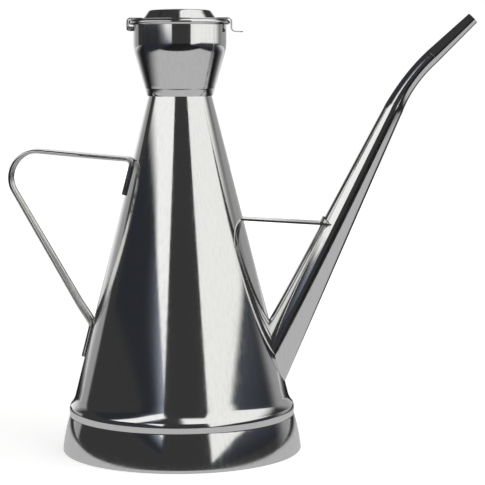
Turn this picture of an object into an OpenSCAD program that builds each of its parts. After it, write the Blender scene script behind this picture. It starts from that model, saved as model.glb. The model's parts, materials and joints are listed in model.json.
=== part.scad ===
// Olive oil can in polished sheet steel: a conical body on a skirted base, a funnel neck
// with a hinged lid, a strap handle, and a long bent spout held by a brace.
// Z is up. The origin is on the body's axis, in the plane that the can stands on.
// The handle points along -X and the spout along +X.

/* [Sheet] */
// Thickness of the sheet that the shells are made from
sheet = 0.5; // [0.4:0.1:0.7]
// Thickness of the spout's tube wall
tube_wall = 0.5; // [0.4:0.1:0.7]

/* [Body cone] */
// Outside diameter of the body at its narrow waist
waist_d = 31.5; // [28:0.1:38]
// Height of the waist above the table
waist_z = 177.6; // [168:0.1:186]
// Outside diameter of the cone where its foot starts to flare
cone_d = 107.1; // [102:0.1:109]
// Height where the foot starts to flare
flare_z = 28; // [26:0.5:32]
// Length of the lip that the body's top holds inside the funnel
waist_lip = 3.6; // [2:0.2:6]

/* [Base skirt] */
// Outside diameter of the skirt where the can stands
base_d = 120; // [117:0.5:128]
// Height of the skirt up to the groove below its bead
skirt_h = 18.8; // [14:0.2:20]
// Height of the rolled bead on top of the skirt
bead_h = 4.5; // [3.4:0.1:5]
// Outside diameter of the bead
bead_d = 113.1; // [112:0.1:114]
// Depth of the groove below the bead
groove = 0.35; // [0.2:0.05:0.5]
// How far the skirt's side bulges from a straight line
skirt_bulge = 0.45; // [0.2:0.05:0.9]
// Width of the foot that is turned in under the skirt
foot_w = 3.6; // [2.6:0.2:6]
// Height of the bottom plate above the table
recess = 3; // [2:0.5:6]

/* [Neck] */
// How far the neck's lower edge stands out from the body at the seam
seam_step = 0.45; // [0.35:0.05:0.45]
// Outside diameter of the neck's cup
cup_d = 46.3; // [44:0.1:50]
// Angle of the funnel's side from upright
funnel_angle = 16.3; // [13:0.1:19]
// Radius of the bend between the funnel and the cup
knuckle_r = 18; // [12:1:30]
// Height of the neck from the waist to the top of its rim
neck_h = 37.45; // [35:0.05:44]
// Thickness of the rolled bead round the mouth
rim_bead = 2.5; // [1.8:0.1:2.8]

/* [Lid] */
// Outside diameter of the lid's brim
lid_d = 48.2; // [47.8:0.1:48.8]
// Diameter of the raised crown at its foot
crown_d = 35.8; // [32:0.2:38]
// Height of the crown's sloping side
crown_side_h = 3.2; // [1:0.1:4]
// Radius of the crown's rounded shoulder
crown_round = 2.2; // [1.6:0.1:3.4]
// Slope of the crown's side from upright
crown_draft = 32; // [1:1:40]
// Slope of the crown's top beside the shoulder
crown_slope = 7; // [3:1:12]

/* [Hinge and thumb tab] */
// Diameter of the hinge pin
pin_d = 1.2; // [1:0.1:1.4]
// Width of the hinge leaf
leaf_w = 10; // [9:0.5:14]
// Width of the lug between the leaf's two knuckles
lug_w = 4; // [3:0.2:5]
// Width of the thumb tab
tab_w = 9; // [7:0.5:12]
// How far the tab hangs below the lid's brim
tab_drop = 6.5; // [5.6:0.1:8]
// How far the tab's end reaches out beyond the lid
tab_reach = 7.3; // [6:0.1:10]
// How far the tab's end dips outward
tab_dip = 0.2; // [0:0.05:1.5]

/* [Handle] */
// Width of the handle's strap beside the body
handle_w = 16.5; // [14:0.5:20]
// Width of the strap at its big bend
grip_w = 10; // [9:0.5:16]
// Thickness of the strap over its rolled edges
strap_t = 1.8; // [1.4:0.1:2.2]
// Thickness of the sheet between the rolled edges
strap_sheet = 0.8; // [0.6:0.1:1]
// Width of the strap's rolled edges
hem_w = 2.2; // [1.8:0.1:3]
// Distance from the can's axis to the corner that the handle's two bars point at
handle_reach = 95.9; // [84:0.1:110]
// Height of that corner
handle_top_z = 152.6; // [148:0.1:164]
// Height where the top bar meets the body
top_joint_z = 146.1; // [138:0.1:152]
// Height where the lower bar meets the body
low_joint_z = 63.7; // [54:0.1:80]
// Radius of the big bend, at the middle of the strap
grip_bend_r = 13.4; // [9:0.2:17]
// Radius of the bend beside the body, at the middle of the strap
joint_bend_r = 2.6; // [2:0.2:4]
// Length of the upper pad that lies on the body
top_pad = 17.8; // [12:0.2:24]
// Length of the lower pad
low_pad = 16.4; // [10:0.2:20]

/* [Spout] */
// Height where the spout's axis leaves the body
spout_z = 50.8; // [48:0.1:58]
// Angle of the long part of the spout from upright
spout_lean = 25.8; // [24:0.1:30]
// Angle of the spout's end from upright
tip_lean = 46.5; // [40:0.5:52]
// Length of the straight part, from the body to the bend
spout_len = 134; // [118:0.2:140]
// Radius of the bend in the spout's axis
spout_bend_r = 83; // [70:1:130]
// Length of the tube's straight end after the bend
tail = 1.8; // [0.5:0.1:6]
// Length of the separate end piece
tip_len = 27.1; // [20:0.1:34]
// Length of the end piece's spigot inside the bent tube
spigot_len = 2.4; // [2:0.1:3]
// Length of the collar where the bend laps the straight part
lap = 2; // [1:0.1:4]
// Outside diameter of the spout at the body
spout_root_d = 20.7; // [18:0.1:23]
// Outside diameter of the spout where the bend starts
spout_mid_d = 9.5; // [9:0.1:12]
// Outside diameter of the spout where the end piece starts
spout_neck_d = 7.6; // [7.2:0.1:9]
// Outside diameter of the spout's mouth
spout_mouth_d = 5.9; // [5.2:0.1:6.6]

/* [Brace] */
// Height of the brace where it meets the body
brace_z = 116.5; // [108:0.5:126]
// Slope of the brace, down from the body to the spout
brace_slope = 3.3; // [0:0.1:6]
// Thickness of the brace
brace_t = 1; // [0.6:0.1:1.4]
// Width of the brace
brace_w = 14.6; // [12:0.2:15]
// Height of the rounded ear that is bent up along the spout
ear_h = 3.8; // [2:0.1:5]

/* [Hidden] */

$fn = 96;
steps = 8;
sides = 48;
bend_rings = 10;
far = 400;
// The bend starts with a collar that laps the straight part and stands just proud of it
lap_step = 0.06;

steel = [0.78, 0.78, 0.79];
bright_steel = [0.86, 0.86, 0.87];
dull_steel = [0.66, 0.66, 0.68];

// Clearances: under the lid on its rim, beside moving pieces, round the pin, and inside joints
lid_gap = 0.1;
side_gap = 0.3;
pin_gap = 0.05;
slip_gap = 0.05;
// Thickness of the solder between pieces that lie on one another
solder = 0.03;

waist_r = waist_d / 2;
cone_r = cone_d / 2;
base_r = base_d / 2;
bead_r = bead_d / 2;
cup_r = cup_d / 2;
lid_r = lid_d / 2;
pin_r = pin_d / 2;

// The cone's side, and the body's radius where its foot stands inside the bead
cone_slope = (cone_r - waist_r) / (waist_z - flare_z);
cone_angle = atan(cone_slope);
foot_in_r = bead_r - sheet;
bead_top_z = skirt_h + bead_h;
function cone_at(z) = waist_r + (waist_z - z) * cone_slope;

// The funnel's side and the corner where it would meet the cup's wall
neck_foot_r = waist_r + seam_step;
funnel_slope = tan(funnel_angle);
function funnel_at(z) = neck_foot_r + (z - waist_z) * funnel_slope;
cup_corner_z = waist_z + (cup_r - neck_foot_r) / funnel_slope;
knuckle_top_z = cup_corner_z + knuckle_r * tan(funnel_angle / 2);
knuckle_mid = [cup_r - knuckle_r, knuckle_top_z];
rim_z = waist_z + neck_h;
bead_mid_z = rim_z - rim_bead / 2;
bead_mid_r = cup_r - sheet + rim_bead / 2;
rim_out_r = bead_mid_r + rim_bead / 2;

// The lid's brim lies just over the rim
brim_z = rim_z + lid_gap;
brim_top_z = brim_z + sheet;
crown_r = crown_d / 2;

// The leaf and the tab pass outside the rim, and the pin lies under it
wrap_x = rim_out_r + side_gap + sheet / 2;
knuckle_in_r = pin_r + pin_gap;
knuckle_out_r = knuckle_in_r + sheet;
pin_x = -(wrap_x + sheet / 2 - knuckle_out_r);
pin_z = rim_z - rim_bead - 2 * side_gap - knuckle_out_r;

// The spout's axis: root on the cone, straight part, bend, end piece
root = [cone_at(spout_z), spout_z];
root_run = 1.14 * spout_root_d;
function lean(a) = [sin(a), cos(a)];
bend_start = root + spout_len * lean(spout_lean);
bend_mid = bend_start + spout_bend_r * [cos(spout_lean), -sin(spout_lean)];
function bend_at(a) = bend_mid + spout_bend_r * [-cos(a), sin(a)];
tip_start = bend_at(tip_lean) + tail * lean(tip_lean);
spout_taper = (spout_root_d - spout_mid_d) / 2 / spout_len;
// Outer radius of the straight part, at a distance along the axis from the root
function spout_r(s) = spout_root_d / 2 - s * spout_taper;

// Points along an arc about a centre, from one angle to another
function arc(mid, r, a0, a1, n = steps) =
    [for (i = [0:n]) mid + r * [cos(a0 + (a1 - a0) * i / n), sin(a0 + (a1 - a0) * i / n)]];
function reversed(list) = [for (i = [len(list) - 1:-1:0]) list[i]];
function unit(v) = v / norm(v);
function left_of(v) = [-v.y, v.x];
function angle_of(v) = atan2(v.y, v.x);
// The same turn, written between -180 and 180 degrees
function short_turn(a) = (a + 540) % 360 - 180;

// An arc from p to q that stands off the line between them by h, on its left where h is over 0
function bow(p, q, h) = let (
    back = norm(q - p) ^ 2 / (8 * h) - h / 2,
    mid = (p + q) / 2 - back * left_of(unit(q - p)),
    a = angle_of(p - mid),
    b = angle_of(q - mid))
    arc(mid, norm(p - mid), a, a + short_turn(b - a));

// One side of a strip that is bent from flat stock: the path's points with rounded corners,
// moved to the left by t
function run_dir(path, i) = unit(path[i + 1] - path[i]);
function turn_at(path, i) = short_turn(angle_of(run_dir(path, i)) - angle_of(run_dir(path, i - 1)));
function corner(path, r, i, t) = let (
    turn = turn_at(path, i),
    side = sign(turn),
    d = run_dir(path, i - 1),
    mid = path[i] - r * tan(abs(turn) / 2) * d + side * r * left_of(d),
    a = angle_of(-side * left_of(d)))
    arc(mid, r - side * t, a, a + turn, ceil(abs(turn) / 8));
function strip_side(path, radii, t) = [for (i = [0:len(path) - 1]) each
    i == 0 ? [path[0] + t * left_of(run_dir(path, 0))] :
    i == len(path) - 1 ? [path[i] + t * left_of(run_dir(path, i - 1))] :
    corner(path, radii[i], i, t)];

// Side view of such a strip: the band from t0 to t1 left of its path
module bent_strip(path, radii, t0, t1) {
    polygon(concat(strip_side(path, radii, t0), reversed(strip_side(path, radii, t1))));
}

// Stands a side view up in the XZ plane and gives it a width along Y
module along_y(width) {
    rotate([90, 0, 0]) linear_extrude(width, center = true) children();
}

// Places a shape that is made along Z on a line in the XZ plane
module on_line(point, angle) {
    translate([point.x, 0, point.y]) rotate([0, angle, 0]) children();
}

// Outer side of the body's flared foot
flare_path = bow([cone_r, flare_z], [foot_in_r, bead_top_z], -0.3);

// The body's full form, with a film round it for pieces that are cut to lie on the body
module body_solid(film = 0) {
    rotate_extrude() polygon(concat(
        [[0, waist_z], [waist_r + film, waist_z]],
        [for (p = flare_path) p + [film, 0]],
        [[foot_in_r + film, skirt_h], [0, skirt_h]]));
}

// The space inside the spout's straight part, from within the body to the bend's start
module spout_bore() {
    on_line(root - root_run * lean(spout_lean), spout_lean)
        cylinder(
            h = spout_len + root_run,
            r1 = spout_r(-root_run) - tube_wall,
            r2 = spout_r(spout_len) - tube_wall);
}

// The straight part's outside, which ends halfway along the lap under the bend
module spout_outside(film = 0) {
    on_line(root - root_run * lean(spout_lean), spout_lean)
        cylinder(
            h = spout_len + root_run - lap / 2,
            r1 = spout_r(-root_run) + film,
            r2 = spout_r(spout_len - lap / 2) + film);
}

// The cone's sheet ends in a narrow shoulder, and in a lip that stands inside the funnel
module body_cone() {
    lip_z = waist_z + waist_lip;
    lip_out = sheet + solder;
    neck_in = waist_z - 4 * sheet;
    color(steel) difference() {
        rotate_extrude() polygon(concat(
            [[funnel_at(lip_z) - lip_out, lip_z], [neck_foot_r - lip_out, waist_z], [waist_r, waist_z]],
            flare_path,
            [[foot_in_r, skirt_h], [foot_in_r - sheet, skirt_h]],
            reversed([for (p = flare_path) p - [sheet, 0]]),
            [[cone_at(neck_in) - sheet, neck_in], [neck_foot_r - sheet - lip_out, waist_z],
                [funnel_at(lip_z) - sheet - lip_out, lip_z]]));
        spout_bore();
    }
}

// The skirt is one sheet: bead, groove, bulging side and a turned-in foot
groove_r = bead_r - groove;
foot_round = 1;
bead_curve = bow([foot_in_r, bead_top_z], [groove_r, skirt_h], 0.45);
skirt_curve = bow([groove_r, skirt_h], [base_r, foot_round], skirt_bulge);

module base_skirt() {
    inner_x = base_r - foot_round - sheet;
    color(steel) rotate_extrude() polygon(concat(
        bead_curve,
        skirt_curve,
        arc([base_r - foot_round, foot_round], foot_round, 0, -90, 4),
        [[base_r - foot_w, 0], [base_r - foot_w, sheet], [inner_x, sheet]],
        reversed([for (p = skirt_curve) p - [sheet, 0]]),
        [[foot_in_r - sheet, skirt_h], [foot_in_r, skirt_h]]));
}

// The bottom is a shallow dish whose rim stands on the turned-in foot
module bottom_plate() {
    rim_r = base_r - foot_w + 3 * sheet;
    color(dull_steel) rotate_extrude() polygon([
        [0, recess],
        [rim_r - sheet, recess],
        [rim_r - sheet, sheet],
        [rim_r, sheet],
        [rim_r, recess + sheet],
        [0, recess + sheet]]);
}

module neck_funnel() {
    color(steel) {
        rotate_extrude() polygon(concat(
            [[neck_foot_r, waist_z]],
            arc(knuckle_mid, knuckle_r, -funnel_angle, 0),
            [[cup_r, bead_mid_z], [cup_r - sheet, bead_mid_z]],
            arc(knuckle_mid, knuckle_r - sheet, 0, -funnel_angle),
            [[neck_foot_r - sheet, waist_z]]));
        rotate_extrude() translate([bead_mid_r, bead_mid_z]) circle(d = rim_bead);
    }
}

// A small block is soldered to the cup and holds the pin between the leaf's knuckles
module hinge_lug() {
    color(dull_steel) difference() {
        along_y(lug_w) {
            translate([pin_x, pin_z]) circle(r = knuckle_out_r);
            translate([pin_x, pin_z - knuckle_out_r])
                square([-pin_x - cup_r + sheet, 2 * knuckle_out_r]);
        }
        cylinder(h = far, r = cup_r + solder);
        translate([pin_x, 0, pin_z]) rotate([90, 0, 0]) cylinder(h = far, r = pin_r, center = true);
    }
}

module hinge_pin() {
    color(bright_steel) translate([pin_x, 0, pin_z])
        rotate([90, 0, 0]) cylinder(h = leaf_w, r = pin_r, center = true);
}

// The strap's centre line, from the upper pad's end round to the lower bar's end in the body
function pad_mid(z) = [-(cone_at(z) + (strap_t / 2 + solder) / cos(cone_angle)), z];
grip = [-handle_reach, handle_top_z];
low_joint = pad_mid(low_joint_z);
low_inside = low_joint + 2 * strap_t * unit(low_joint - grip);
grip_path = [pad_mid(top_joint_z), grip, low_inside];
grip_radii = [0, grip_bend_r, 0];
// The strap has its full width from here to the body, and its least width round the big bend
full_w_x = -0.52 * handle_reach;
least_w_x = -0.9 * handle_reach;

// Plan view of the strap, less a margin along both edges
module strap_plan(margin) {
    wide = handle_w / 2 - margin;
    narrow = grip_w / 2 - margin;
    linear_extrude(far) polygon([
        [-handle_reach, -narrow], [least_w_x, -narrow], [full_w_x, -wide], [0, -wide],
        [0, wide], [full_w_x, wide], [least_w_x, narrow], [-handle_reach, narrow]]);
}

// The pads and the upper bend are rounded to the body, so they are cut from turned shapes
module strap_ends() {
    joint_r = -pad_mid(top_joint_z).x;
    bar_run = 3 * joint_bend_r;
    intersection() {
        rotate_extrude() {
            mirror([1, 0]) bent_strip(
                [pad_mid(top_joint_z - top_pad * cos(cone_angle)), pad_mid(top_joint_z),
                    pad_mid(top_joint_z) + bar_run * unit(grip - pad_mid(top_joint_z))],
                [0, joint_bend_r, 0], -strap_t / 2, strap_t / 2);
            mirror([1, 0]) bent_strip(
                [pad_mid(low_joint_z), pad_mid(low_joint_z - low_pad * cos(cone_angle))],
                [0, 0], -strap_t / 2, strap_t / 2);
        }
        translate([-far / 2, 0, 0]) cube([far, handle_w, far], center = true);
    }
}

// The bars are one bent band, and a shallow recess between the rolled edges is left out of it
module strap_bars() {
    difference() {
        intersection() {
            along_y(2 * handle_w) bent_strip(grip_path, grip_radii, -strap_t / 2, strap_t / 2);
            strap_plan(0);
        }
        intersection() {
            along_y(2 * handle_w)
                bent_strip(grip_path, grip_radii, strap_sheet - strap_t / 2, 2 * strap_t);
            strap_plan(hem_w);
        }
        body_solid(2 * solder);
        translate([-(cone_at(top_joint_z) + 2 * joint_bend_r), -far / 2, top_joint_z - far / 4])
            cube([far, far, far]);
    }
}

module handle_strap() {
    color(bright_steel) {
        strap_ends();
        strap_bars();
    }
}

// The tapered bend: rings of points along the axis, outside and inside. Ring 0 starts the lap,
// and the last ring ends the tail.
function bend_lean(k) = let (turned = min(max(k - 1, 0), bend_rings) / bend_rings)
    spout_lean + (tip_lean - spout_lean) * turned;
function bend_centre(k) = k == 0 ? bend_start - lap * lean(spout_lean) :
    k > bend_rings + 1 ? tip_start : bend_at(bend_lean(k));
function bend_r(k) = k == 0 ? spout_r(spout_len - lap) + lap_step :
    let (full_r = spout_mid_d / 2 + lap_step, end_r = spout_neck_d / 2)
    end_r + (full_r - end_r) * max(1 - (k - 1) / bend_rings, 0) ^ 3;
function bend_wall(k) = k > 1 ? tube_wall : tube_wall / 2 + lap_step;
function bend_ring(k, r) = let (c = bend_centre(k), a = bend_lean(k))
    [for (j = [0:sides - 1]) let (u = 360 * j / sides)
        [c.x + r * cos(u) * cos(a), r * sin(u), c.y - r * cos(u) * sin(a)]];

module spout_bend() {
    last_k = bend_rings + 2;
    base = (last_k + 1) * sides;
    last = last_k * sides;
    outer = [for (k = [0:last_k]) each bend_ring(k, bend_r(k))];
    inner = [for (k = [0:last_k]) each bend_ring(k, bend_r(k) - bend_wall(k))];
    skin = [for (k = [0:last_k - 1], j = [0:sides - 1]) let (
        a = k * sides + j, b = k * sides + (j + 1) % sides)
        each [[a, a + sides, b], [b, a + sides, b + sides]]];
    lining = [for (f = skin) [f[0] + base, f[2] + base, f[1] + base]];
    ends = [for (j = [0:sides - 1]) let (n = (j + 1) % sides) each [
        [j, n, base + j], [n, base + n, base + j],
        [last + j, base + last + j, last + n], [last + n, base + last + j, base + last + n]]];
    polyhedron(points = concat(outer, inner), faces = concat(skin, lining, ends));
}

module spout_tube() {
    color(steel) {
        difference() {
            spout_outside();
            spout_bore();
            body_solid(solder);
        }
        spout_bend();
    }
}

// The end piece has a spigot that fits inside the bent tube
spigot_r = spout_neck_d / 2 - tube_wall - slip_gap;

module spout_tip() {
    mouth_r = spout_mouth_d / 2;
    color(steel) on_line(tip_start, tip_lean) rotate_extrude() polygon([
        [spigot_r, -spigot_len],
        [spigot_r, 0],
        [spout_neck_d / 2, 0],
        [mouth_r, tip_len],
        [mouth_r - tube_wall, tip_len],
        [spigot_r - tube_wall, 0],
        [spigot_r - tube_wall, -spigot_len]]);
}

// The brace is a flat strip, cut to the body and the spout, with an ear bent up round the spout
brace_start = [cone_at(brace_z), brace_z];
brace_dir = [cos(brace_slope), -sin(brace_slope)];
brace_run = let (v = root - brace_start, d = lean(spout_lean))
    (v.x * d.y - v.y * d.x) / (brace_dir.x * d.y - brace_dir.y * d.x);
brace_end = brace_start + brace_run * brace_dir;
brace_back = 4;

module brace_strip() {
    plate_len = brace_run + brace_back;
    axis_s = (brace_end - root) * lean(spout_lean);
    foot_s = axis_s - spout_r(axis_s) * tan(spout_lean - brace_slope);
    ear_r = ((brace_w / 2) ^ 2 + ear_h ^ 2) / (2 * ear_h);
    low_s = foot_s - 2 * ear_h;
    color(bright_steel) difference() {
        union() {
            on_line(brace_start - brace_back * brace_dir, brace_slope)
                translate([0, -brace_w / 2, -brace_t / 2]) cube([plate_len, brace_w, brace_t]);
            intersection() {
                on_line(root + low_s * lean(spout_lean), spout_lean)
                    cylinder(h = 4 * ear_h, r1 = spout_r(low_s) + brace_t,
                        r2 = spout_r(low_s + 4 * ear_h) + brace_t);
                on_line(root + (foot_s + ear_h - ear_r) * lean(spout_lean), spout_lean)
                    rotate([0, -90, 0]) cylinder(h = far, r = ear_r);
                on_line(brace_end, brace_slope)
                    translate([-far, -far / 2, -brace_t / 2]) cube(far);
            }
        }
        body_solid(solder);
        spout_outside(solder);
    }
}

// The crown's outline: a sloping side, a rounded shoulder and a gently domed top
shoulder_end = 90 - crown_slope;
shoulder_mid = [
    crown_r - crown_side_h * tan(crown_draft) - crown_round * cos(crown_draft),
    brim_top_z + crown_side_h - crown_round * sin(crown_draft)];
dome_r = shoulder_mid.x / cos(shoulder_end) + crown_round;
dome_mid = [0, shoulder_mid.y - (dome_r - crown_round) * sin(shoulder_end)];
function crown_path(inset) = concat(
    arc(dome_mid, dome_r - inset, 90, shoulder_end, 4),
    arc(shoulder_mid, crown_round - inset, shoulder_end, crown_draft));

module lid_shell() {
    foot_in = crown_r + sheet * tan(crown_draft) - sheet / cos(crown_draft);
    color(steel) rotate_extrude() polygon(concat(
        crown_path(0),
        [[crown_r, brim_top_z], [lid_r, brim_top_z], [lid_r, brim_z], [foot_in, brim_z]],
        reversed(crown_path(sheet))));
}

// The leaf lies on the brim, turns down outside the rim and curls round the pin
strap_mid_z = brim_top_z + sheet / 2;
wrap_start = crown_r + side_gap;
edge_bend = wrap_x - lid_r - solder;

module lid_hinge_leaf() {
    notch = lug_w + 2 * side_gap;
    notch_top = pin_z + knuckle_out_r + side_gap;
    color(bright_steel) difference() {
        along_y(leaf_w) {
            bent_strip(
                [[-wrap_start, strap_mid_z], [-wrap_x, strap_mid_z], [-wrap_x, pin_z]],
                [0, edge_bend, 0], -sheet / 2, sheet / 2);
            intersection() {
                translate([pin_x, pin_z]) difference() {
                    circle(r = knuckle_out_r);
                    circle(r = knuckle_in_r);
                }
                polygon(concat([[pin_x, pin_z]],
                    arc([pin_x, pin_z], 3 * knuckle_out_r, 175, 390)));
            }
        }
        translate([pin_x - 2 * knuckle_out_r, -notch / 2, notch_top - far / 4])
            cube([4 * knuckle_out_r, notch, far / 4]);
    }
}

// The tab lies on the brim, hangs down outside the rim and turns out for the thumb
tab_bend = 2;

module lid_thumb_tab() {
    low_z = strap_mid_z - tab_drop;
    tip_x = lid_r + tab_reach;
    color(bright_steel) intersection() {
        along_y(tab_w) bent_strip(
            [[wrap_start, strap_mid_z], [wrap_x, strap_mid_z], [wrap_x, low_z],
                [tip_x, low_z - tab_dip]],
            [0, edge_bend, tab_bend, 0], -sheet / 2, sheet / 2);
        translate([0, 0, rim_z - far / 2]) linear_extrude(far) {
            translate([0, -tab_w / 2]) square([tip_x - tab_w / 2, tab_w]);
            translate([tip_x - tab_w / 2, 0]) circle(d = tab_w);
        }
    }
}

body_cone();
base_skirt();
bottom_plate();
neck_funnel();
hinge_lug();
hinge_pin();
handle_strap();
spout_tube();
spout_tip();
brace_strip();
lid_shell();
lid_hinge_leaf();
lid_thumb_tab();
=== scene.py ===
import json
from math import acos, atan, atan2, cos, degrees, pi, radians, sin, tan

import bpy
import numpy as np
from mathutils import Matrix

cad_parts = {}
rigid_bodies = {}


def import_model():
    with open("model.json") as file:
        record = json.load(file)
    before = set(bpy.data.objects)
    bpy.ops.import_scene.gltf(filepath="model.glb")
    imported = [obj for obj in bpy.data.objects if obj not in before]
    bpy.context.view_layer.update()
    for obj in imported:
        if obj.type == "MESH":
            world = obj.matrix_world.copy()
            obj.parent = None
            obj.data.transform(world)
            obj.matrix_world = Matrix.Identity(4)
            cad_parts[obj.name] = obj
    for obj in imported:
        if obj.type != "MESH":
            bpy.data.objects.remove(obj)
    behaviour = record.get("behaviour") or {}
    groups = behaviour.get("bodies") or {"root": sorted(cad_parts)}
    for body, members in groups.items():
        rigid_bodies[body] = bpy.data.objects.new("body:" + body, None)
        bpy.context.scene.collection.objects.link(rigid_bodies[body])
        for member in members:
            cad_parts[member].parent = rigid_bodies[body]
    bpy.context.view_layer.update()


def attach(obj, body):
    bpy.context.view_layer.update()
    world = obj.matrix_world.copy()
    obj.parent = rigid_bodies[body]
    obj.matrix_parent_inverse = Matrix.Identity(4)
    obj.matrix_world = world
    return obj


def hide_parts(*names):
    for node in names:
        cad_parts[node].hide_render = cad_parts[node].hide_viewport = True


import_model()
# %% [markdown]
# # A polished oil can
# This lesson dresses a sheet-steel oil can: a cone on a skirted base, a funnel neck with a hinged
# lid, a strap handle, and a long bent spout held by a brace. Every piece is worked out in
# millimetres and turned into metres when its mesh is made. The body's axis is Z, the spout points
# along +X and the handle along -X.

# %% [markdown]
# ## Real sizes
# A tinsmith's drawing has few sizes: the sheet, the two ends of the cone, the skirt, the cup. They
# are written here once, in the same words as in the solid part's source, and every surface below
# is worked out from them. A second copy of a size would sooner or later disagree with the first.

# %% Sizes of the shell
SHEET = 0.5
WAIST_R, WAIST_Z = 15.75, 177.6
CONE_R, FLARE_Z = 53.55, 28.0
BEAD_R, BEAD_TOP_Z, SKIRT_H, BASE_R = 56.55, 23.3, 18.8, 60.0
GROOVE, BULGE, FOOT_W, RECESS = 0.35, 0.45, 3.6, 3.0
NECK_FOOT_R, FUNNEL_ANGLE, KNUCKLE_R = 16.2, 16.3, 18.0
CUP_R, RIM_Z, RIM_BEAD = 23.15, 215.05, 2.5
SOLDER, LID_GAP, SIDE_GAP = 0.03, 0.1, 0.3
CONE_SLOPE = (CONE_R - WAIST_R) / (WAIST_Z - FLARE_Z)
CONE_ANGLE = atan(CONE_SLOPE)


def cone_at(z):
    """Outer radius of the body's cone at height z: a straight line from the waist to the flare."""
    return WAIST_R + (WAIST_Z - z) * CONE_SLOPE


print("the cone leans", round(degrees(CONE_ANGLE), 2), "degrees")

# %% [markdown]
# ## Making a mesh
# Every surface here is a grid of points, and a grid's faces follow one rule: each square of four
# neighbours is a face. So one helper makes the faces, and another hands points and faces to
# Blender, smooths the shading, keeps sharp edges crisp and says which body the piece rides on.

# %% Grids and meshes
def grid_faces(rows, columns, around=False, closed=False):
    """Faces of a grid whose point (i, j) has number i * columns + j.

    `around` joins the last column to the first, `closed` joins the last row to the first.
    """
    i = np.arange(rows if closed else rows - 1)[:, None]
    j = np.arange(columns if around else columns - 1)[None, :]
    up, side = (i + 1) % rows, (j + 1) % columns
    corners = [i * columns + j, i * columns + side, up * columns + side, up * columns + j]
    return np.stack(np.broadcast_arrays(*corners), axis=-1).reshape(-1, 4)


def put(name, points, faces, mat, nodes=(), body="can", sharp=38):
    """Makes a smooth-shaded mesh from points in millimetres; edges over `sharp` degrees stay crisp."""
    mesh = bpy.data.meshes.new(name)
    mesh.from_pydata((np.asarray(points) / 1000).tolist(), [], [list(map(int, f)) for f in faces])
    mesh.polygons.foreach_set("use_smooth", [True] * len(mesh.polygons))
    mesh.set_sharp_from_angle(angle=radians(sharp))
    mesh.validate()
    piece = bpy.data.objects.new(name, mesh)
    bpy.context.scene.collection.objects.link(piece)
    mesh.materials.append(mat)
    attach(piece, body)
    if nodes:
        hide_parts(*nodes)
    print(name, len(mesh.polygons), "faces")
    return piece


# %% [markdown]
# ## Outlines
# A turned piece is drawn as its outline, as on a lathe. An outline has few points, with arcs
# between them, and `dense` then adds points on long straight runs so that the faces stay square.

# %% Outlines
def arc(mid, r, start, end, n=12):
    """Points (mid.x + r cos a, mid.z + r sin a), with a from start to end in degrees."""
    a = np.radians(np.linspace(start, end, n + 1))
    return np.c_[mid[0] + r * np.cos(a), mid[1] + r * np.sin(a)]


def bow(p, q, h, n=16):
    """An arc from p to q whose middle stands h off the straight line, to its left where h > 0.

    At a distance s from the middle the arc stands off by sqrt(r^2 - s^2) - (r - |h|).
    """
    p, q = np.array(p, float), np.array(q, float)
    span = np.linalg.norm(q - p)
    along = (q - p) / span
    left = np.array([-along[1], along[0]])
    r = span ** 2 / (8 * abs(h)) + abs(h) / 2
    s = np.linspace(-span / 2, span / 2, n + 1)
    lift = (np.sqrt(r * r - s * s) - (r - abs(h))) * np.sign(h)
    return (p + q) / 2 + s[:, None] * along + lift[:, None] * left


def dense(line, step):
    """The same line with a point about every `step` millimetres, its corners kept."""
    line = np.asarray(line, float)
    run = np.r_[0, np.cumsum(np.linalg.norm(np.diff(line, axis=0), axis=1))]
    count = int(np.ceil(run[-1] / step))
    s = np.unique(np.r_[run, np.linspace(0, run[-1], count + 1)])
    s = s[np.r_[True, np.diff(s) > 1e-6]]
    return np.stack([np.interp(s, run, column) for column in line.T], axis=-1)


def turned(name, outline, mat, nodes=(), body="can", segs=288, sharp=38):
    """A surface of revolution: (r cos u, r sin u, z) for each outline point (r, z).

    An outline that starts and ends on the axis gets a pole there. Any other one is a closed loop.
    """
    outline = np.asarray(outline, float)
    poles = outline[0, 0] == 0 and outline[-1, 0] == 0
    ring = outline[1:-1] if poles else outline
    u = np.linspace(0, 2 * pi, segs, endpoint=False)
    r, z = ring[:, :1], ring[:, 1:]
    points = np.stack([r * np.cos(u), r * np.sin(u), z + 0 * u], axis=-1).reshape(-1, 3)
    faces = grid_faces(len(ring), segs, around=True, closed=not poles)[:, ::-1].tolist()
    if poles:
        ends = np.array([[0, 0, outline[0, 1]], [0, 0, outline[-1, 1]]])
        j = np.arange(segs)
        after = (j + 1) % segs
        low = (len(ring) - 1) * segs
        top = np.c_[np.full(segs, len(points)), j, after]
        under = np.c_[np.full(segs, len(points) + 1), low + after, low + j]
        points = np.concatenate([points, ends])
        faces = faces + top.tolist() + under.tolist()
    return put(name, points, faces, mat, nodes, body, sharp)


# %% [markdown]
# ## Steel
# The can is stainless sheet with three finishes: mirror polish on the shells, a duller rub on the
# strips that were cut and bent after polishing, and plain rolled steel inside the hinge and below.
# All three are one recipe. Metal has no colour of its own but what it mirrors, so the recipe
# changes the roughness from place to place: a stretched noise gives the fine lines that a
# polishing wheel leaves, and a coarse one gives cloudy wiped patches.

# %% Steel
def add_node(tree, kind, **values):
    """Makes a shader node and sets its named input values."""
    node = tree.nodes.new("ShaderNode" + kind)
    for key, value in values.items():
        node.inputs[key.replace("_", " ")].default_value = value
    return node


def noise(tree, stretch, scale, detail):
    """Noise over the object's own coordinates, stretched along each axis by one over `stretch`."""
    place = add_node(tree, "TexCoord")
    mapped = add_node(tree, "Mapping", Scale=stretch)
    tree.links.new(place.outputs["Object"], mapped.inputs["Vector"])
    cloud = add_node(tree, "TexNoise", Scale=scale, Detail=detail)
    tree.links.new(mapped.outputs["Vector"], cloud.inputs["Vector"])
    return cloud.outputs["Fac"]


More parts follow.
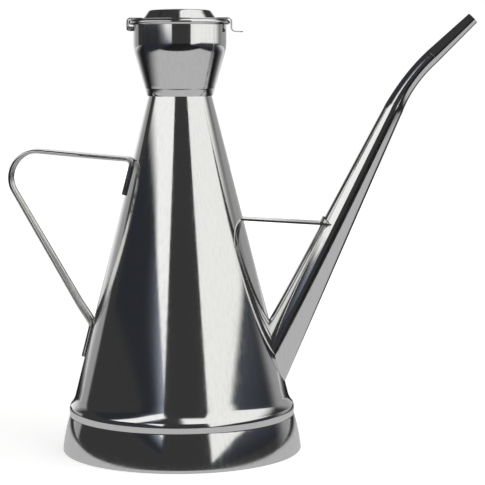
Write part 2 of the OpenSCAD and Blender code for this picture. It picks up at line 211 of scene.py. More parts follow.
def calc(tree, operation, a, b=None):
    """A math node on sockets or numbers; gives its output socket."""
    node = tree.nodes.new("ShaderNodeMath")
    node.operation = operation
    for slot, value in zip(node.inputs, [a] if b is None else [a, b]):
        if isinstance(value, (int, float)):
            slot.default_value = value
        else:
            tree.links.new(value, slot)
    return node.outputs[0]


def between(tree, x, lo, hi, start, end, smooth=False):
    """Maps x from lo..hi to start..end, and holds it there outside that range."""
    node = add_node(tree, "MapRange", From_Min=lo, From_Max=hi, To_Min=start, To_Max=end)
    node.interpolation_type = "SMOOTHSTEP" if smooth else "LINEAR"
    tree.links.new(x, node.inputs["Value"])
    return node.outputs["Result"]


# The sockets of a Mix node that mixes colours
FIRST, SECOND, MIXED = 6, 7, 2


def mixed(tree, factor, first, second):
    """Mixes two colours by a socket's value; gives the output socket."""
    node = tree.nodes.new("ShaderNodeMix")
    node.data_type = "RGBA"
    node.inputs[FIRST].default_value, node.inputs[SECOND].default_value = (*first, 1), (*second, 1)
    tree.links.new(factor, node.inputs[0])
    return node.outputs[MIXED]


def steel(name, colour, rough, cloud, lines, line_depth):
    """Polished steel: roughness = rough + cloud * wide noise + lines * fine stretched noise."""
    mat = bpy.data.materials.new(name)
    mat.use_nodes = True
    tree = mat.node_tree
    shader = tree.nodes["Principled BSDF"]
    shader.inputs["Metallic"].default_value = 1.0
    wide = between(tree, noise(tree, (1, 1, 0.6), 45, 3), 0.35, 0.7, 0, cloud)
    fine_noise = noise(tree, (1, 1, 0.06), 900, 5)
    fine = between(tree, fine_noise, 0.4, 0.65, 0, lines)
    tree.links.new(calc(tree, "ADD", calc(tree, "ADD", wide, fine), rough), shader.inputs["Roughness"])
    darker = tuple(0.965 * c for c in colour)
    tint = mixed(tree, between(tree, fine_noise, 0.45, 0.7, 0, 1), colour, darker)
    tree.links.new(tint, shader.inputs["Base Color"])
    bump = add_node(tree, "Bump", Strength=line_depth, Distance=0.00002)
    tree.links.new(fine_noise, bump.inputs["Height"])
    tree.links.new(bump.outputs["Normal"], shader.inputs["Normal"])
    return mat


polished = steel("polished_steel", (0.82, 0.82, 0.815), 0.06, 0.03, 0.04, 0.05)
strip = steel("strip_steel", (0.76, 0.76, 0.75), 0.15, 0.06, 0.06, 0.1)
plain = steel("plain_steel", (0.66, 0.66, 0.66), 0.3, 0.08, 0.1, 0.2)
print("finishes", polished.name, strip.name, plain.name)

# %% [markdown]
# ## Body
# The body is one sheet rolled into a cone and soldered along a hidden seam. Its foot flares out to
# stand in the bead of the skirt. A cone could be a primitive with a bevel, but a turned outline
# holds the flare and the sheet's thickness too, so the piece is a real shell with an inside.

# %% Body cone
flare = bow((CONE_R, FLARE_Z), (BEAD_R - SHEET, BEAD_TOP_Z), -0.3)
outer = np.concatenate([dense([(WAIST_R, WAIST_Z), (CONE_R, FLARE_Z)], 4)[:-1], flare,
                        [(BEAD_R - SHEET, SKIRT_H)]])
inner = outer[::-1] - [SHEET, 0]
turned("body", np.concatenate([outer, inner]), polished, ["body_cone"])

# %% [markdown]
# ## Skirt and bottom
# The skirt is a ring of sheet with a rolled bead at the top, a groove below it, a slight bulge, and
# a foot turned in so that the can stands on a smooth edge. Small arcs matter most here: each one
# squeezes the whole room into a thin bright or dark line. The bottom is a dish set up inside.

# %% Skirt
bead = bow((BEAD_R - SHEET, BEAD_TOP_Z), (BEAD_R - GROOVE, SKIRT_H), 0.45)
side = bow((BEAD_R - GROOVE, SKIRT_H), (BASE_R, 1.0), BULGE, 24)
foot = arc((BASE_R - 1, 1), 1, 0, -90, 8)
turned("skirt", np.concatenate([
    bead, side[1:], foot[1:],
    [(BASE_R - FOOT_W, 0), (BASE_R - FOOT_W, SHEET), (BASE_R - 1 - SHEET, SHEET)],
    side[::-1] - [SHEET, 0],
    [(BEAD_R - 2 * SHEET, SKIRT_H), (BEAD_R - 2 * SHEET, BEAD_TOP_Z - SHEET)]]),
    polished, ["base_skirt"])

# %% Bottom plate
rim_r = BASE_R - FOOT_W + 3 * SHEET
turned("bottom", [
    (0, RECESS + SHEET), (rim_r - SHEET, RECESS + SHEET), (rim_r, RECESS), (rim_r, SHEET),
    (rim_r - SHEET, SHEET), (rim_r - SHEET, RECESS - SHEET), (rim_r - 2 * SHEET, RECESS),
    (0, RECESS)], plain, ["bottom_plate"])

# %% [markdown]
# ## Neck
# The neck is a funnel that grows into a short cup with a wired rim. A smith would spin it from one
# piece, so it is turned here in one outline as well. The funnel's side leans out, which makes it
# mirror the table, while the cup's upright side mirrors the room. Just above the seam with the body
# a fine pressed line runs round it, and at the seam its edge turns in.

# %% Neck
slope = tan(radians(FUNNEL_ANGLE))
knuckle_z = WAIST_Z + (CUP_R - NECK_FOOT_R) / slope + KNUCKLE_R * tan(radians(FUNNEL_ANGLE / 2))
knuckle = (CUP_R - KNUCKLE_R, knuckle_z)
rim_mid = (CUP_R - SHEET + RIM_BEAD / 2, RIM_Z - RIM_BEAD / 2)
meet = degrees(acos((CUP_R - rim_mid[0]) / (RIM_BEAD / 2)))
rim = arc(rim_mid, RIM_BEAD / 2, -meet, 180, 36)
SEAM_IN, SEAM_H, LINE_UP, LINE_HALF, LINE_DEPTH = 0.2, 0.35, 3.6, 0.4, 0.05
seam_and_line = [(NECK_FOOT_R - SEAM_IN, WAIST_Z)] + [
    (NECK_FOOT_R + up * slope - inward, WAIST_Z + up)
    for up, inward in ((SEAM_H, 0), (LINE_UP - LINE_HALF, 0), (LINE_UP, LINE_DEPTH),
                       (LINE_UP + LINE_HALF, 0))]
wall = np.concatenate([seam_and_line, arc(knuckle, KNUCKLE_R, -FUNNEL_ANGLE, 0, 14),
                       [(CUP_R, rim[0, 1])]])
lining = np.concatenate([arc(knuckle, KNUCKLE_R - SHEET, 0, -FUNNEL_ANGLE, 14),
                         [(NECK_FOOT_R - SHEET, WAIST_Z)]])
turned("neck", np.concatenate([dense(wall, 2), rim[1:], dense(lining, 2)])[::-1],
       polished, ["neck_funnel"])

# %% [markdown]
# ## Lid
# The lid is a pressed disc: a flat brim that lies on the rim and a crown with a sloping side, a
# round shoulder and a nearly flat top. The side's slope decides what it mirrors: the ceiling, which
# is dark on the left and bright on the right.

# %% Lid
LID_R, CROWN_R, CROWN_SIDE_H, CROWN_ROUND = 24.1, 17.9, 3.2, 2.2
CROWN_DRAFT, SHOULDER_END = 32.0, 83.0
BRIM_Z = RIM_Z + LID_GAP
BRIM_TOP_Z = BRIM_Z + SHEET
draft = radians(CROWN_DRAFT)
shoulder = (CROWN_R - CROWN_SIDE_H * tan(draft) - CROWN_ROUND * cos(draft),
            BRIM_TOP_Z + CROWN_SIDE_H - CROWN_ROUND * sin(draft))
dome_r = shoulder[0] / cos(radians(SHOULDER_END)) + CROWN_ROUND
dome = (0, shoulder[1] - (dome_r - CROWN_ROUND) * sin(radians(SHOULDER_END)))


def crown(inset):
    """The crown's outline from the axis outward: a flat dome, then the rounded shoulder."""
    top = arc(dome, dome_r - inset, 90, SHOULDER_END, 14)
    top[0, 0] = 0
    return np.concatenate([top, arc(shoulder, CROWN_ROUND - inset, SHOULDER_END, CROWN_DRAFT, 16)[1:]])


fillet = arc((CROWN_R + 0.5, BRIM_TOP_Z + 0.5), 0.5, 180 + CROWN_DRAFT, 270, 6)
brim_edge = arc((LID_R - SHEET / 2, BRIM_Z + SHEET / 2), SHEET / 2, 90, -90, 8)
turned("lid", np.concatenate([crown(0), fillet, dense(brim_edge, 1),
                              [(CROWN_R - SHEET, BRIM_Z)], crown(SHEET)[::-1]]),
       polished, ["lid_shell"], body="lid", segs=240)

# %% [markdown]
# ## Bent strips
# The tab, the hinge leaf, the handle and the brace are strips of sheet bent along a line. Their
# side view is a line with rounded corners. Each point of the line then carries a cross-section,
# turned square to the line. A cross-section with round ends gives the soft edges that a file leaves.

# %% Lines and sections
def bent(path, radii, n=8):
    """Straight runs through the path's points, joined by arcs of the given radii."""
    p = np.asarray(path, float)
    runs = np.diff(p, axis=0)
    runs /= np.linalg.norm(runs, axis=1)[:, None]
    out = [p[:1]]
    for corner, r, d0, d1 in zip(p[1:-1], radii, runs[:-1], runs[1:]):
        turn = atan2(d0[0] * d1[1] - d0[1] * d1[0], d0 @ d1)
        inward = np.array([-d0[1], d0[0]]) * np.sign(turn)
        mid = corner - r * tan(abs(turn) / 2) * d0 + r * inward
        start = degrees(atan2(-inward[1], -inward[0]))
        out.append(arc(mid, r, start, start + degrees(turn), n))
    return np.concatenate(out + [p[-1:]])


def lefts(line):
    """The unit vector square to the line at each point, on its left."""
    along = np.gradient(line, axis=0)
    along /= np.linalg.norm(along, axis=1)[:, None]
    return np.c_[-along[:, 1], along[:, 0]]


def carried(name, line, y, t, mat, slot, nodes=(), body="can", sharp=38):
    """A section carried along a line in the XZ plane.

    The point (i, j) lies at line[i] + left[i] * t[i, j], and at y[i, j] across. The two ends are
    closed by one face each.
    """
    left = lefts(line)
    x = line[:, :1] + left[:, :1] * t
    z = line[:, 1:] + left[:, 1:] * t
    points = np.stack(np.broadcast_arrays(x, y, z), axis=-1)
    rows, columns = points.shape[:2]
    faces = grid_faces(rows, columns, around=True).tolist()
    last = (rows - 1) * columns
    faces += [list(range(columns))[::-1], list(range(last, last + columns))]
    return put(name, points.reshape(-1, 3), faces, mat, nodes, body, sharp)


def flat_section(half, thick, n=6):
    """A flat bar with round edges, anticlockwise: y across, t off the line, for each half width."""
    a = np.linspace(-pi / 2, pi / 2, n + 1)
    edge = np.asarray(half)[:, None] - thick / 2
    right_y, right_t = edge + thick / 2 * np.cos(a), thick / 2 * np.sin(a)
    y = np.concatenate([right_y, -right_y[:, ::-1]], axis=1)
    t = np.concatenate([right_t, right_t[::-1]])
    return y, np.broadcast_to(t, y.shape)


print("a flat section has", flat_section([5], SHEET)[0].shape[1], "points")

# %% [markdown]
# ## Thumb tab and hinge leaf
# The tab lies on the brim, drops past the rim and turns out for the thumb, with a round end. The
# leaf does the same on the other side and ends in two curls round a pin, which a small block on
# the cup holds between them. Both ride on the lid, so they turn about the pin with it.

# %% Thumb tab
TAB_W, TAB_DROP, TAB_REACH, TAB_DIP, TAB_BEND = 9.0, 6.5, 7.3, 0.2, 2.0
STRAP_Z = BRIM_TOP_Z + SHEET / 2
WRAP_X = rim_mid[0] + RIM_BEAD / 2 + SIDE_GAP + SHEET / 2
EDGE_BEND = WRAP_X - LID_R - SOLDER
start_x, low_z, tip_x = CROWN_R + SIDE_GAP, STRAP_Z - TAB_DROP, LID_R + TAB_REACH
tab_line = dense(bent([(start_x, STRAP_Z), (WRAP_X, STRAP_Z), (WRAP_X, low_z),
                       (tip_x, low_z - TAB_DIP)], [EDGE_BEND, TAB_BEND]), 0.35)
to_tip = tip_x - tab_line[:, 0]
round_end = np.sqrt(np.clip((TAB_W / 2) ** 2 - np.clip(TAB_W / 2 - to_tip, 0, None) ** 2, 0, None))
carried("thumb_tab", tab_line, *flat_section(np.maximum(round_end, 0.4), SHEET), strip,
        "polished_strip", ["lid_thumb_tab"], body="lid")

# %% Hinge leaf
LEAF_W, LUG_W, PIN_R, PIN_GAP = 10.0, 4.0, 0.6, 0.05
KNUCKLE_OUT = PIN_R + PIN_GAP + SHEET
PIN_X, PIN_Z = -(WRAP_X + SHEET / 2 - KNUCKLE_OUT), RIM_Z - RIM_BEAD - 2 * SIDE_GAP - KNUCKLE_OUT
notch_z = PIN_Z + KNUCKLE_OUT + SIDE_GAP
leaf_line = dense(bent([(-start_x, STRAP_Z), (-WRAP_X, STRAP_Z), (-WRAP_X, notch_z)], [EDGE_BEND]), 0.4)
carried("hinge_leaf", leaf_line, *flat_section(np.full(len(leaf_line), LEAF_W / 2), SHEET), strip,
        "polished_strip", ["lid_hinge_leaf"], body="lid")

# %% Hinge curls
curl_line = dense(np.concatenate([[(-WRAP_X, notch_z)],
                                  arc((PIN_X, PIN_Z), KNUCKLE_OUT - SHEET / 2, 180, 390, 20)]), 0.4)
inner_y, outer_y = LUG_W / 2 + SIDE_GAP, LEAF_W / 2
curl_y, curl_t = flat_section(np.full(len(curl_line), (outer_y - inner_y) / 2), SHEET)
for number, side_sign in enumerate((-1, 1)):
    carried("hinge_curl_%d" % number, curl_line, curl_y + side_sign * (inner_y + outer_y) / 2,
            curl_t, strip, "polished_strip", (), body="lid")

# %% [markdown]
# ## Handle
# The handle is one strap. Its long edges are rolled over a wire, so that a hand can hold it, and it
# narrows towards the big bend. Its ends are rounded to the body and soldered on. A plain flat
# strap would look thin and sharp: the rolled edge is what the camera sees, as a small bright tube.
# The section is a web with a roll at each edge, and its width changes along the line.

# %% Handle line
HANDLE_W, GRIP_W, STRAP_T, STRAP_SHEET = 16.5, 10.0, 1.8, 0.8
REACH, TOP_Z, TOP_JOINT, LOW_JOINT = 95.9, 152.6, 146.1, 63.7
GRIP_BEND, JOINT_BEND, TOP_PAD, LOW_PAD = 13.4, 2.6, 17.8, 16.4
FULL_W_X, LEAST_W_X = -0.52 * REACH, -0.9 * REACH
lift = (STRAP_T / 2 + SOLDER) / cos(CONE_ANGLE)


def pad_mid(z):
    """The strap's middle where it lies on the body, just off the sheet."""
    return -(cone_at(z) + lift), z


grip = dense(bent([pad_mid(TOP_JOINT - TOP_PAD * cos(CONE_ANGLE)), pad_mid(TOP_JOINT),
                   (-REACH, TOP_Z), pad_mid(LOW_JOINT), pad_mid(LOW_JOINT - LOW_PAD * cos(CONE_ANGLE))],
                  [JOINT_BEND, GRIP_BEND, JOINT_BEND + 0.6], 24), 1.2)
print("the handle's strap is", round(np.linalg.norm(np.diff(grip, axis=0), axis=1).sum()), "mm long")

# %% Handle
half_w = np.interp(grip[:, 0], [LEAST_W_X, FULL_W_X], [GRIP_W / 2, HANDLE_W / 2])[:, None]
ROLL_R = STRAP_T / 2
roll_a = np.radians(np.linspace(-90, 172, 18))
right_y = np.concatenate([0 * half_w, half_w - ROLL_R + ROLL_R * np.cos(roll_a),
                          half_w - STRAP_T - 0.15, 0 * half_w], axis=1)
right_t = np.r_[-ROLL_R, ROLL_R * np.sin(roll_a), STRAP_SHEET - ROLL_R, STRAP_SHEET - ROLL_R]
hand_y = np.concatenate([right_y, -right_y[:, -2:0:-1]], axis=1)
hand_t = np.broadcast_to(np.r_[right_t, right_t[-2:0:-1]], hand_y.shape)
gap = -grip[:, 0] - cone_at(grip[:, 1]) - lift
near_body = 1 - np.clip(gap / 9, 0, 1)
near_body = (near_body ** 2 * (3 - 2 * near_body))[:, None]
body_r = cone_at(grip[:, 1])[:, None]
hug = near_body * (body_r - np.sqrt(body_r ** 2 - hand_y ** 2))
handle = carried("handle", grip, hand_y, hand_t, strip, "polished_strip", ["handle_strap"], sharp=50)
points = np.empty(len(handle.data.vertices) * 3)
handle.data.vertices.foreach_get("co", points)
points = points.reshape(-1, 3)
points[:, 0] += hug.reshape(-1) / 1000
handle.data.vertices.foreach_set("co", points.reshape(-1))
handle.data.update()

# %% [markdown]
# ## Spout
# The spout is a long tapering tube, rolled and soldered, then bent near its end, with a separate
# conical end piece. Its root is cut to the body's cone. The cut could be a Boolean, but that
# leaves slivers, so each side line of the tube is started where it meets the cone: the distance
# along the axis is found by halving an interval for all side lines at once.

# %% Spout's axis
LEAN, TIP_LEAN = radians(25.8), radians(46.5)
SPOUT_LEN, BEND_R, TAIL, TIP_LEN, WALL = 134.0, 83.0, 1.8, 27.1, 0.5
ROOT_R, MID_R, NECK_R, MOUTH_R, LAP, LAP_STEP = 10.35, 4.75, 3.8, 2.95, 2.0, 0.06
ROOT = np.array([cone_at(50.8), 50.8])
ALONG, ACROSS = np.array([sin(LEAN), cos(LEAN)]), np.array([cos(LEAN), -sin(LEAN)])
BEND_START = ROOT + SPOUT_LEN * ALONG
BEND_MID = BEND_START + BEND_R * ACROSS
TIP_ALONG = np.array([sin(TIP_LEAN), cos(TIP_LEAN)])
TIP_START = BEND_MID + BEND_R * np.array([-cos(TIP_LEAN), sin(TIP_LEAN)]) + TAIL * TIP_ALONG


def spout_r(s):
    """Outer radius of the straight part, s along the axis from the root: a straight taper."""
    return ROOT_R - s * (ROOT_R - MID_R) / SPOUT_LEN


def rings(centres, leans, radii, m=96):
    """Rings square to the axis: c + r cos u * (cos a, -sin a) in XZ, and r sin u across."""
    u = np.linspace(0, 2 * pi, m, endpoint=False)[None, :]
    c, a, r = np.asarray(centres, float), np.asarray(leans)[:, None], np.asarray(radii)[:, None]
    return np.stack([c[:, :1] + r * np.cos(u) * np.cos(a), r * np.sin(u) + 0 * a,
                     c[:, 1:] - r * np.cos(u) * np.sin(a)], axis=-1)


def ring_skin(name, ring_list, mat, nodes):
    """Joins rings into one closed skin, the last ring to the first."""
    points = np.concatenate(ring_list)
    faces = grid_faces(len(points), points.shape[1], around=True, closed=True)
    return put(name, points.reshape(-1, 3), faces, mat, nodes)


print("the spout's end piece starts at", TIP_START.round(1))


# %% Spout tube
def straight_part(inset, last, m=96, rows=40):
    """The straight tube from the body to s = last, its skin moved in by `inset`."""
    u = np.linspace(0, 2 * pi, m, endpoint=False)
    lo, hi = np.full(m, -30.0), np.full(m, 60.0)
    for _ in range(40):
        s = (lo + hi) / 2
        r = spout_r(s) - inset
        x = ROOT[0] + s * ALONG[0] + r * np.cos(u) * ACROSS[0]
        z = ROOT[1] + s * ALONG[1] + r * np.cos(u) * ACROSS[1]
        outside = np.hypot(x, r * np.sin(u)) > cone_at(z) - 0.2
        lo, hi = np.where(outside, lo, s), np.where(outside, s, hi)
    s = s + (last - s) * np.linspace(0, 1, rows + 1)[:, None]
    r = spout_r(s) - inset
    return np.stack([ROOT[0] + s * ALONG[0] + r * np.cos(u) * ACROSS[0], r * np.sin(u),
                     ROOT[1] + s * ALONG[1] + r * np.cos(u) * ACROSS[1]], axis=-1)


def bent_part(inset, n=24):
    """The lapped collar, the bend and its straight tail; the radius falls with a cube."""
    k = np.linspace(0, 1, n + 1)
    a = LEAN + (TIP_LEAN - LEAN) * k
    centres = BEND_MID + BEND_R * np.c_[-np.cos(a), np.sin(a)]
    radii = NECK_R + (MID_R + LAP_STEP - NECK_R) * (1 - k) ** 3
    collar = BEND_START - LAP * ALONG
    return rings(np.concatenate([[collar], centres, [TIP_START]]), np.r_[LEAN, a, TIP_LEAN],
                 np.r_[spout_r(SPOUT_LEN - LAP) + LAP_STEP, radii, NECK_R] - inset)


ring_skin("spout", [straight_part(0, SPOUT_LEN - LAP), bent_part(0), bent_part(WALL)[::-1],
                    straight_part(WALL, SPOUT_LEN - LAP)[::-1]], polished, ["spout_tube"])

# %% Spout tip
k = np.linspace(0, 1, 11)
tip_s = np.r_[0, 0.25, 0.3 + (TIP_LEN - 0.3) * k, TIP_LEN, 0.3, 0]
tip_r = np.r_[NECK_R + 0.1, NECK_R + 0.1, NECK_R + (MOUTH_R - NECK_R) * k, MOUTH_R - WALL,
              NECK_R - WALL, NECK_R - WALL]
ring_skin("tip", [rings(TIP_START + tip_s[:, None] * TIP_ALONG, np.full(len(tip_s), TIP_LEAN), tip_r)],
          polished, ["spout_tip"])

# %% [markdown]
# ## Brace
# A thin plate ties the spout to the body. It is cut hollow at both ends, and a half-round ear is
# bent up along the spout, where the solder holds it. The whole piece is one patch of two numbers:
# how far along, from the body over the plate, round the fold and up the ear, and how far across.

# %% Sheet metal
def sheet_metal(name, middle, thick, mat, nodes=(), body="can", sharp=38):
    """A patch of bent sheet: middle[i, j] moved half a thickness to both sides of the surface."""
    rows, columns = middle.shape[:2]
    normal = np.cross(np.gradient(middle, axis=0), np.gradient(middle, axis=1))
    normal /= np.linalg.norm(normal, axis=2)[..., None]
    skins = np.stack([middle + normal * thick / 2, middle - normal * thick / 2])
    base = rows * columns
    number = np.arange(base).reshape(rows, columns)
    quads = grid_faces(rows, columns)
    rim = np.r_[number[0, :-1], number[:-1, -1], number[-1, :0:-1], number[:0:-1, 0]]
    after = np.roll(rim, -1)
    edge = np.c_[rim, after, after + base, rim + base]
    faces = np.concatenate([quads[:, ::-1], quads + base, edge])
    return put(name, skins.reshape(-1, 3), faces, mat, nodes, body, sharp)


# %% Brace
BRACE_Z, BRACE_SLOPE, BRACE_T, BRACE_W, EAR_H = 116.5, radians(3.3), 1.0, 14.6, 3.8
PLATE = np.array([cos(BRACE_SLOPE), -sin(BRACE_SLOPE)])
ear_r = ((BRACE_W / 2) ** 2 + EAR_H ** 2) / (2 * EAR_H)
across = np.linspace(-BRACE_W / 2, BRACE_W / 2, 41)


def line_at(k):
    """Points on the plate's middle, k along it from where it meets the body, for each y across."""
    return np.stack([cone_at(BRACE_Z) + k * PLATE[0], BRACE_Z + k * PLATE[1]], axis=-1)


start_k = np.sqrt(cone_at(BRACE_Z) ** 2 - across ** 2) - cone_at(BRACE_Z) + SOLDER
lo, hi = np.zeros(len(across)), np.full(len(across), 70.0)
for _ in range(40):
    k = (lo + hi) / 2
    from_root = line_at(k) - ROOT
    skin = np.sqrt(np.clip((spout_r(from_root @ ALONG) + BRACE_T / 2 + SOLDER) ** 2 - across ** 2, 0, None))
    lo, hi = np.where(from_root @ ACROSS < -skin, k, lo), np.where(from_root @ ACROSS < -skin, hi, k)
rise = EAR_H - ear_r + np.sqrt(ear_r ** 2 - across ** 2) + 0.05
turn = pi / 2 - LEAN + BRACE_SLOPE
fold_r = np.minimum(0.9, 0.8 * rise / tan(turn / 2))
fold_run = fold_r * tan(turn / 2)
up = np.array([sin(BRACE_SLOPE), cos(BRACE_SLOPE)])
corner = line_at(k)
fold_start, fold_end = corner - fold_run[:, None] * PLATE, corner + fold_run[:, None] * ALONG
fold_mid = fold_start + fold_r[:, None] * up
step = np.linspace(0, 1, 25)[:, None, None]
a = turn * np.linspace(0, 1, 9)[1:-1, None, None]
patch = np.concatenate([
    line_at(start_k) + (fold_start - line_at(start_k)) * step,
    fold_mid + fold_r[:, None] * (np.sin(a) * PLATE - np.cos(a) * up),
    fold_end + (corner + rise[:, None] * ALONG - fold_end) * step[::4]])
middle = np.stack([patch[..., 0], np.broadcast_to(across, patch.shape[:2]), patch[..., 1]], axis=-1)
sheet_metal("brace", middle, BRACE_T, strip, ["brace_strip"])

# %% [markdown]
# ## Camera
# A catalogue picture is taken from some way off with a long lens, so that upright lines stay nearly
# upright. The numbers were found by matching the can's outline: the lens stands 878 mm in front of
# the can's axis, a little to the right of it and just below the lid, and looks slightly down.

# %% Camera
CAMERA_AT = (0.06173, -0.8784, 0.1915)
YAW, PITCH, ROLL, LENS = radians(2.015), radians(5.66), radians(0.184), 131.01
camera_data = bpy.data.cameras.new("camera")
camera = bpy.data.objects.new("camera", camera_data)
bpy.context.scene.collection.objects.link(camera)
bpy.context.scene.camera = camera
forward = np.array([-sin(YAW) * cos(PITCH), cos(YAW) * cos(PITCH), -sin(PITCH)])
level = np.array([cos(YAW), sin(YAW), 0.0])
above = np.cross(level, forward)
right = cos(ROLL) * level - sin(ROLL) * above
upward = sin(ROLL) * level + cos(ROLL) * above
placed = np.eye(4)
placed[:3] = np.c_[right, upward, -forward, CAMERA_AT]
camera.matrix_world = Matrix(placed.tolist())
camera_data.sensor_width, camera_data.lens = 36, LENS
camera_data.clip_start, camera_data.clip_end = 0.01, 20
print("camera at", CAMERA_AT)

# %% [markdown]
# ## Studio
# Polished metal shows the room and nothing else, so the room is the real work of this picture. The
# bands on the cone say where the lights stand: seen from the cup and from the skirt, the same edge
# lies at different heights, and from the two the light's distance follows. That gives a panel
# close by on the left, a larger one further off on the right, a pale backdrop behind, a bright
# ceiling over the right half, and darkness where the camera stands.
#
# The far things are written in the world, as levels by bearing and height. Bearing 0 is the
# camera's side, and bearings grow to the right.

# %% World
def band(tree, x, lo, hi, soft_lo, soft_hi):
    """1 between lo and hi, with soft edges centred on them."""
    rise_in = between(tree, x, lo - soft_lo / 2, lo + soft_lo / 2, 0, 1, smooth=True)
    fall_out = between(tree, x, hi - soft_hi / 2, hi + soft_hi / 2, 1, 0, smooth=True)
    return calc(tree, "MULTIPLY", rise_in, fall_out)


bpy.context.scene.view_settings.view_transform = "Standard"
world = bpy.data.worlds.new("world")
bpy.context.scene.world = world
world.use_nodes = True
sky = world.node_tree
way = add_node(sky, "SeparateXYZ")
sky.links.new(add_node(sky, "TexCoord").outputs["Generated"], way.inputs[0])
TO_DEGREES = 180 / pi
to_camera_side = calc(sky, "MULTIPLY", way.outputs["Y"], -1.0)
bearing = calc(sky, "MULTIPLY", calc(sky, "ARCTAN2", way.outputs["X"], to_camera_side), TO_DEGREES)
height = calc(sky, "MULTIPLY", calc(sky, "ARCSINE", way.outputs["Z"]), TO_DEGREES)
DARK = 0.042
left_part = calc(sky, "ADD", between(sky, bearing, -121, -116, 0.3, 0, smooth=True),
                 between(sky, bearing, -160, -128, 0.62, 0, smooth=True))
right_part = calc(sky, "ADD", between(sky, bearing, 106, 136, 0, 0.3, smooth=True),
                  between(sky, bearing, 145, 180, 0, 0.2, smooth=True))
backdrop = calc(sky, "MULTIPLY", calc(sky, "ADD", left_part, right_part),
                band(sky, height, -30, 15, 10, 12))
ceiling = calc(sky, "MULTIPLY", between(sky, way.outputs["X"], 0.0, 0.08, 0, 0.95, smooth=True),
               between(sky, height, 38, 48, 0, 1, smooth=True))
room = calc(sky, "ADD", calc(sky, "ADD", backdrop, ceiling), DARK)
seen = add_node(sky, "LightPath")
room = calc(sky, "MAXIMUM", room, seen.outputs["Is Camera Ray"])
sky.links.new(room, sky.nodes["Background"].inputs["Color"])
sky.nodes["Background"].inputs["Strength"].default_value = 1.0

# %% [markdown]
# ## Light panels
# The near lights are upright sheets that glow. They are written as meshes and not as lamps,
# because a sheet can have soft, slanted edges and a dim stand below its bright part, which the
# metal shows as a dark blue ground. The camera can't see them, only the metal can.

# %% Light panels
def glowing(name, brightness, foot, ends):
    """A material that only glows; `brightness` gives its colour from the node tree, Y and Z.

    Below the height `foot` the panel is clear, so that the floor shows under it, and it is clear
    past its two soft ends, so that the backdrop shows there. `ends` is for band(), in metres of Y.
    """
    mat = bpy.data.materials.new(name)
    mat.use_nodes = True
    tree = mat.node_tree
    tree.nodes.remove(tree.nodes["Principled BSDF"])
    spot = add_node(tree, "SeparateXYZ")
    tree.links.new(add_node(tree, "TexCoord").outputs["Object"], spot.inputs[0])
    glow = add_node(tree, "Emission", Strength=1.0)
    tree.links.new(brightness(tree, spot.outputs["Y"], spot.outputs["Z"]), glow.inputs["Color"])
    pick = add_node(tree, "MixShader")
    there = calc(tree, "MULTIPLY", band(tree, spot.outputs["Y"], *ends),
                 between(tree, spot.outputs["Z"], foot - 0.01, foot + 0.01, 0, 1, smooth=True))
    tree.links.new(there, pick.inputs["Fac"])
    tree.links.new(add_node(tree, "BsdfTransparent").outputs[0], pick.inputs[1])
    tree.links.new(glow.outputs[0], pick.inputs[2])
    tree.links.new(pick.outputs[0], tree.nodes["Material Output"].inputs["Surface"])
    return mat


def panel(name, near, far, top, mat):
    """An upright sheet over the plan line from near to far, in metres, from the table to top."""
    mesh = bpy.data.meshes.new(name)
    corners = [(*near, 0.001), (*far, 0.001), (*far, top), (*near, top)]
    mesh.from_pydata(corners, [], [(0, 1, 2, 3)])
    mesh.materials.append(mat)
    sheet = bpy.data.objects.new(name, mesh)
    bpy.context.scene.collection.objects.link(sheet)
    sheet.visible_camera = sheet.visible_shadow = False
    print(name, "from", near, "to", far)


def over(tree, dim, dim_tint, bright, bright_tint):
    """The brighter of a dim tinted part and a bright tinted part, channel by channel."""
    both = tree.nodes.new("ShaderNodeVectorMath")
    both.operation = "MAXIMUM"
    for place, (amount, tint) in enumerate(((dim, dim_tint), (bright, bright_tint))):
        tree.links.new(mixed(tree, amount, (0, 0, 0), tint), both.inputs[place])
    return both.outputs[0]


BLUE_GREY = (0.85, 0.94, 1.15)
LEFT_EDGE_Z, LEFT_TOP_Z, LEFT_TOP_SLOPE = 0.214, 0.335, 0.27
RIGHT_EDGE_Z, RIGHT_RISE, RIGHT_EDGE_TOP = 0.259, 0.2, 0.186


def left_light(tree, y, z):
    """Bright above its lower edge, with a soft blue-grey glow below it near its camera end."""
    under_top = calc(tree, "ADD", z, calc(tree, "MULTIPLY", y, LEFT_TOP_SLOPE))
    lit = calc(tree, "MULTIPLY", between(tree, z, LEFT_EDGE_Z - 0.008, LEFT_EDGE_Z + 0.008, 0, 1, smooth=True),
               between(tree, under_top, LEFT_TOP_Z - 0.02, LEFT_TOP_Z + 0.02, 1, 0, smooth=True))
    far_edge = between(tree, y, -0.42, -0.16, 0, 0.03, smooth=True)
    lit = calc(tree, "MULTIPLY", lit, between(tree, calc(tree, "SUBTRACT", z, far_edge),
                                              LEFT_EDGE_Z - 0.03, LEFT_EDGE_Z + 0.008, 0, 1, smooth=True))
    spill = between(tree, z, 0.135, LEFT_EDGE_Z, 0, 1, smooth=True)
    near_end = between(tree, y, -0.56, -0.16, 1, 0, smooth=True)
    dim = calc(tree, "ADD", calc(tree, "MULTIPLY", calc(tree, "MULTIPLY", spill, near_end), 0.3), 0.03)
    return over(tree, dim, BLUE_GREY, lit, (1.04, 1.04, 1.03))


def right_light(tree, y, z):
    """Bright above a lower edge that rises to the right and then runs level, dim blue below it."""
    rising = calc(tree, "ADD", calc(tree, "MULTIPLY", y, RIGHT_RISE), RIGHT_EDGE_Z)
    above = calc(tree, "SUBTRACT", z, calc(tree, "MINIMUM", rising, RIGHT_EDGE_TOP))
    lit = between(tree, above, -0.012, 0.012, 0, 1, smooth=True)
    spill = between(tree, above, -0.14, 0.0, 0.03, 0.065, smooth=True)
    return over(tree, spill, BLUE_GREY, lit, (0.98, 0.98, 0.96))


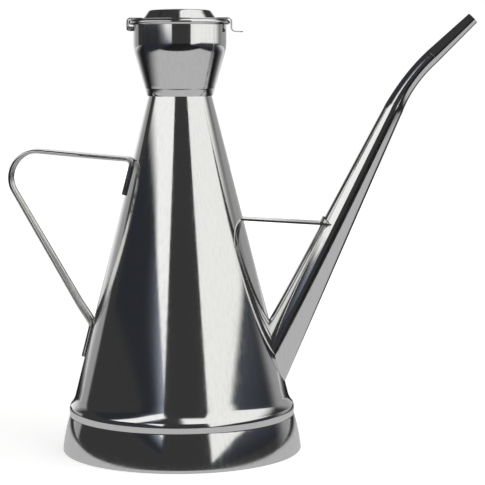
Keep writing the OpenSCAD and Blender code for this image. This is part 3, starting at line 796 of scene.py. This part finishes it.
LEFT_ENDS, RIGHT_ENDS = (-0.6, 0.02, 0.03, 0.05), (-0.9, 0.2, 0.05, 0.3)
panel("left_light", (-0.245, 0.06), (-0.158, -0.62), 0.53,
      glowing("left_glow", left_light, 0.11, LEFT_ENDS))
panel("right_light", (0.565, 0.36), (0.54, -0.93), 1.6,
      glowing("right_glow", right_light, 0.05, RIGHT_ENDS))

# %% [markdown]
# ## Floor
# The can stands on a pale table. To the camera it is nearly white. To the metal it shows a painted
# pool of light in front of and beside the can. Beyond it the table is painted dark, as painted
# shade, until a painted glow runs up into the backdrop. The funnel of the neck and the lower edge of the skirt
# mirror this painted pool.

# %% Floor
FLOOR_R = 2.5
PAINTED_POOL_EDGES = {"X": (-0.44, 0.53, 0.24, 0.12), "Y": (-0.385, 0.14, 0.03, 0.12)}
rim_a = np.linspace(0, 2 * pi, 96, endpoint=False)
floor_mesh = bpy.data.meshes.new("floor")
floor_mesh.from_pydata(np.c_[FLOOR_R * np.cos(rim_a), FLOOR_R * np.sin(rim_a), 0 * rim_a].tolist(),
                       [], [list(range(96))])
floor = bpy.data.objects.new("floor", floor_mesh)
bpy.context.scene.collection.objects.link(floor)
table = bpy.data.materials.new("table")
table.use_nodes = True
tree = table.node_tree
surface = tree.nodes["Principled BSDF"]
surface.inputs["Roughness"].default_value = 0.9
surface.inputs["Specular IOR Level"].default_value = 0.0
spot = add_node(tree, "SeparateXYZ")
tree.links.new(add_node(tree, "TexCoord").outputs["Object"], spot.inputs[0])
# Painted pool of light: the table glows in a soft band that only the metal sees. A painted glow also rises
# behind the can.
lit_x, lit_y = [band(tree, spot.outputs[axis], *edges) for axis, edges in PAINTED_POOL_EDGES.items()]
lit = calc(tree, "MULTIPLY", calc(tree, "MULTIPLY", lit_x, lit_y), 0.5)
behind = between(tree, spot.outputs["Y"], 0.25, 1.4, 0, 0.7, smooth=True)
ray = add_node(tree, "LightPath")
to_metal = calc(tree, "MULTIPLY", calc(tree, "MAXIMUM", lit, behind), ray.outputs["Is Glossy Ray"])
far_white = between(tree, spot.outputs["Y"], 0.1, 0.9, 0.7, 1, smooth=True)
to_camera = calc(tree, "MULTIPLY", ray.outputs["Is Camera Ray"], far_white)
tree.links.new(calc(tree, "ADD", to_metal, to_camera), surface.inputs["Emission Strength"])
surface.inputs["Emission Color"].default_value = (1, 1, 1, 1)
# Painted shade: for glossy rays the table's colour is nearly black, so the metal mirrors a dark table beyond
# the painted pool.
paint = mixed(tree, ray.outputs["Is Glossy Ray"], (0.86, 0.86, 0.85), (0.04, 0.04, 0.045))
tree.links.new(paint, surface.inputs["Base Color"])
floor_mesh.materials.append(table)

# %% [markdown]
# ## The pieces kept from the solid model
# The hinge's pin and its block are plain turned and cut solids, too small to gain from new
# surfaces. They keep their meshes and only get their finish.

# %% Finish
for thing in list(bpy.data.objects):
    if thing.type == "MESH" and not thing.data.materials:
        thing.data.materials.append(plain)
